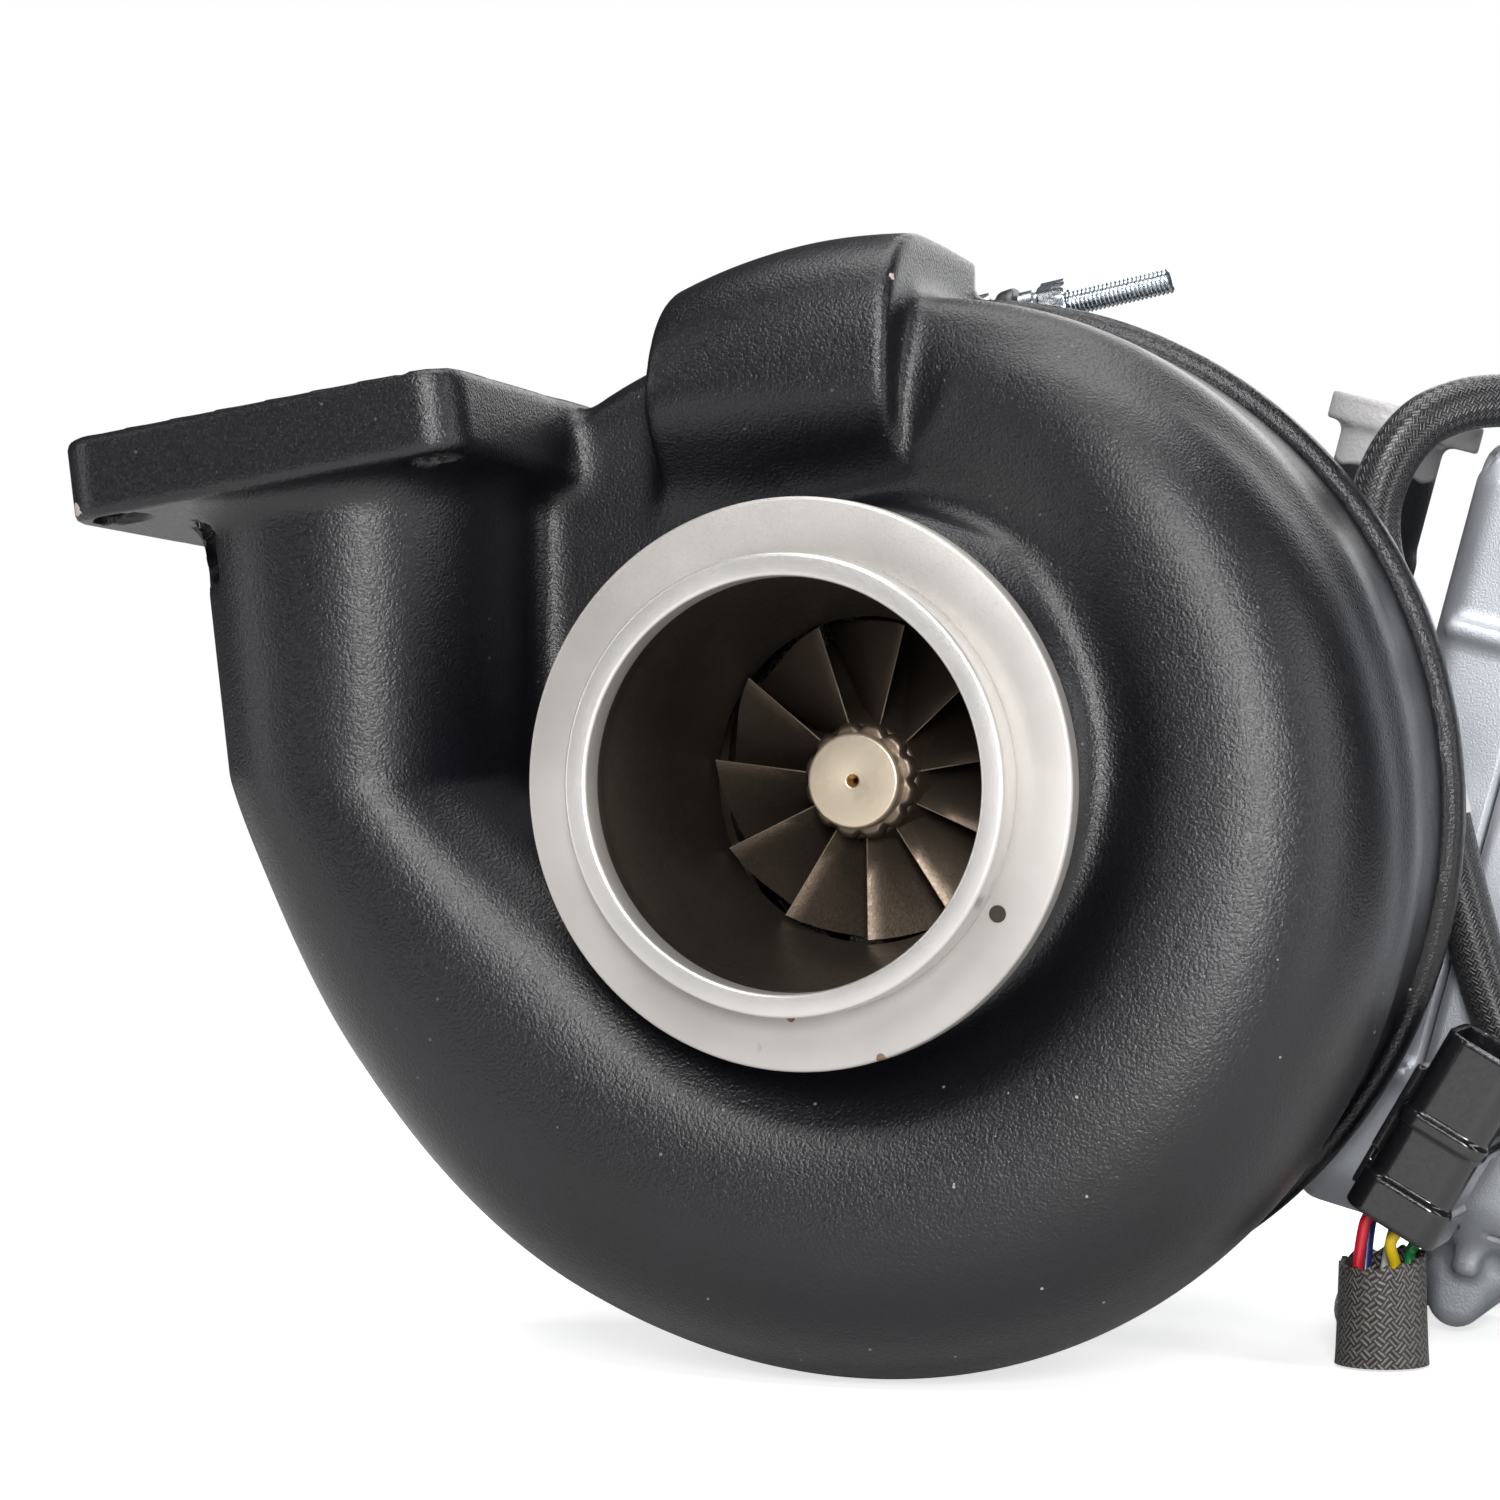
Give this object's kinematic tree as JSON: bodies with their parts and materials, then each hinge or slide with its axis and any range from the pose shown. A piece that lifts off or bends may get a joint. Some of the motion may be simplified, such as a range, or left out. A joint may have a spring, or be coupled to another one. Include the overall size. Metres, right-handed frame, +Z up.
{
  "type": "turbocharger",
  "caption": "Exhaust-driven supercharger with a sliding-ring variable nozzle, an electric nozzle actuator with its harness, and a bolted inlet flange.",
  "frame": {"origin": "under the middle of the assembly without its loose harness, on the surface it stands on", "axes": "+Z up, -Y out of the turbine outlet along the shaft, +X towards the actuator"},
  "size_m": [0.3618, 0.294, 0.2456],
  "materials": {
    "black_paint_machined": "black paint on the neck, bare machined flange",
    "bright_steel": "ground",
    "dark_steel": "dark heat-treated",
    "bearing_bronze": "turned",
    "cast_aluminium": "die cast, bead blasted",
    "circuit_green": "coated laminate",
    "zinc_steel": "zinc plated",
    "black_rubber": "matt",
    "black_paint": "black high-temperature paint over a sand-cast surface, machined outlet flange",
    "nickel_alloy": "investment cast, satin",
    "wheel_aluminium": "milled",
    "dark_cast_iron": "as cast, machined faces",
    "woven_black": "woven polyester sleeve",
    "woven_grey": "woven sleeve, cut end",
    "black_plastic": "moulded, glossy",
    "red_plastic": "moulded",
    "wire_red": "insulation",
    "wire_blue": "insulation",
    "wire_white": "insulation",
    "wire_yellow": "insulation",
    "wire_green": "insulation"
  },
  "bodies": {
    "housing": {"coolant_neck": "black_paint_machined", "cross_shaft_bush_left": "bearing_bronze", "cross_shaft_bush_right": "bearing_bronze", "motor_stator": "dark_steel", "gear_housing": "cast_aluminium", "actuator_body": "cast_aluminium", "circuit_board": "circuit_green", "actuator_cover": "cast_aluminium", "actuator_bolt_1": "zinc_steel", "actuator_bolt_2": "zinc_steel", "actuator_bolt_3": "zinc_steel", "actuator_bolt_4": "zinc_steel", "mount_bolt_1": "zinc_steel", "mount_bolt_2": "zinc_steel", "cable_boot": "black_rubber", "turbine_housing": "black_paint", "shroud_plate": "bright_steel", "nozzle_ring_seal": "dark_steel", "heat_shield": "bright_steel", "turbine_seal_ring": "dark_steel", "bearing_housing": "dark_cast_iron", "bearing_spacer": "bright_steel", "thrust_bearing": "bearing_bronze", "oil_seal_plate": "bright_steel", "v_band_clamp": "zinc_steel", "clamp_t_bolt": "zinc_steel", "clamp_trunnion": "dark_steel", "clamp_nut": "zinc_steel", "compressor_backplate": "cast_aluminium", "cover_o_ring": "black_rubber", "compressor_cover": "cast_aluminium", "cover_clamp": "zinc_steel", "cover_clamp_bolt": "zinc_steel", "cover_clamp_nut": "zinc_steel", "harness_sleeve": "woven_black", "sleeve_end": "woven_grey", "heat_shrink": "black_rubber", "connector_body": "black_plastic", "connector_lock": "red_plastic", "wire_red": "wire_red", "wire_blue": "wire_blue", "wire_white": "wire_white", "wire_yellow": "wire_yellow", "wire_green": "wire_green"},
    "rotor": {"turbine_wheel": "nickel_alloy", "compressor_wheel": "wheel_aluminium", "shaft_nut": "bright_steel", "thrust_collar": "bright_steel", "oil_flinger": "bright_steel"},
    "turbine_bearing": {"turbine_side_bearing": "bearing_bronze"},
    "compressor_bearing": {"compressor_side_bearing": "bearing_bronze"},
    "nozzle": {"nozzle_ring": "nickel_alloy", "push_rod_left": "bright_steel", "push_rod_right": "bright_steel"},
    "lever": {"cross_shaft": "bright_steel", "nozzle_yoke": "dark_steel", "sector_gear": "bright_steel"},
    "output_gear": {"output_gear": "bright_steel"},
    "intermediate_gear": {"intermediate_gear": "bright_steel"},
    "motor_rotor": {"motor_rotor": "bright_steel"}
  },
  "joints": [
    {"name": "rotor_spin", "type": "hinge", "parent": "housing", "child": "rotor", "pos_m": [-0.01065, 0.012, 0.12758], "axis": [0, 1, 0], "continuous": true},
    {"name": "turbine_bearing_spin", "type": "hinge", "parent": "housing", "child": "turbine_bearing", "pos_m": [-0.01065, -0.0245, 0.12758], "axis": [0, 1, 0], "continuous": true},
    {"name": "compressor_bearing_spin", "type": "hinge", "parent": "housing", "child": "compressor_bearing", "pos_m": [-0.01065, 0.0395, 0.12758], "axis": [0, 1, 0], "continuous": true},
    {"name": "lever_swing", "type": "hinge", "parent": "housing", "child": "lever", "pos_m": [-0.01945, 0.03, 0.09474], "axis": [0.9659, 0, -0.2588], "range_deg": [0, 22.9]},
    {"name": "nozzle_slide", "type": "slide", "parent": "housing", "child": "nozzle", "axis": [0, -1, 0], "range_m": [0, 0.01]},
    {"name": "output_gear_spin", "type": "hinge", "parent": "housing", "child": "output_gear", "pos_m": [-0.00702, 0.03, 0.14111], "axis": [0.9659, 0, -0.2588], "range_deg": [-69, 0]},
    {"name": "intermediate_gear_spin", "type": "hinge", "parent": "housing", "child": "intermediate_gear", "pos_m": [0.00058, 0.036, 0.1695], "axis": [0.9659, 0, -0.2588], "range_deg": [0, 190]},
    {"name": "motor_spin", "type": "hinge", "parent": "housing", "child": "motor_rotor", "pos_m": [0.00819, 0.042, 0.19789], "axis": [0.9659, 0, -0.2588], "range_deg": [-521, 0]}
  ],
  "couplings": [
    {"joint": "nozzle_slide", "follows": "lever_swing", "m_per_rad": 0.025},
    {"joint": "output_gear_spin", "follows": "lever_swing", "ratio": -3},
    {"joint": "intermediate_gear_spin", "follows": "lever_swing", "ratio": 8.25},
    {"joint": "motor_spin", "follows": "lever_swing", "ratio": -22.688}
  ]
}
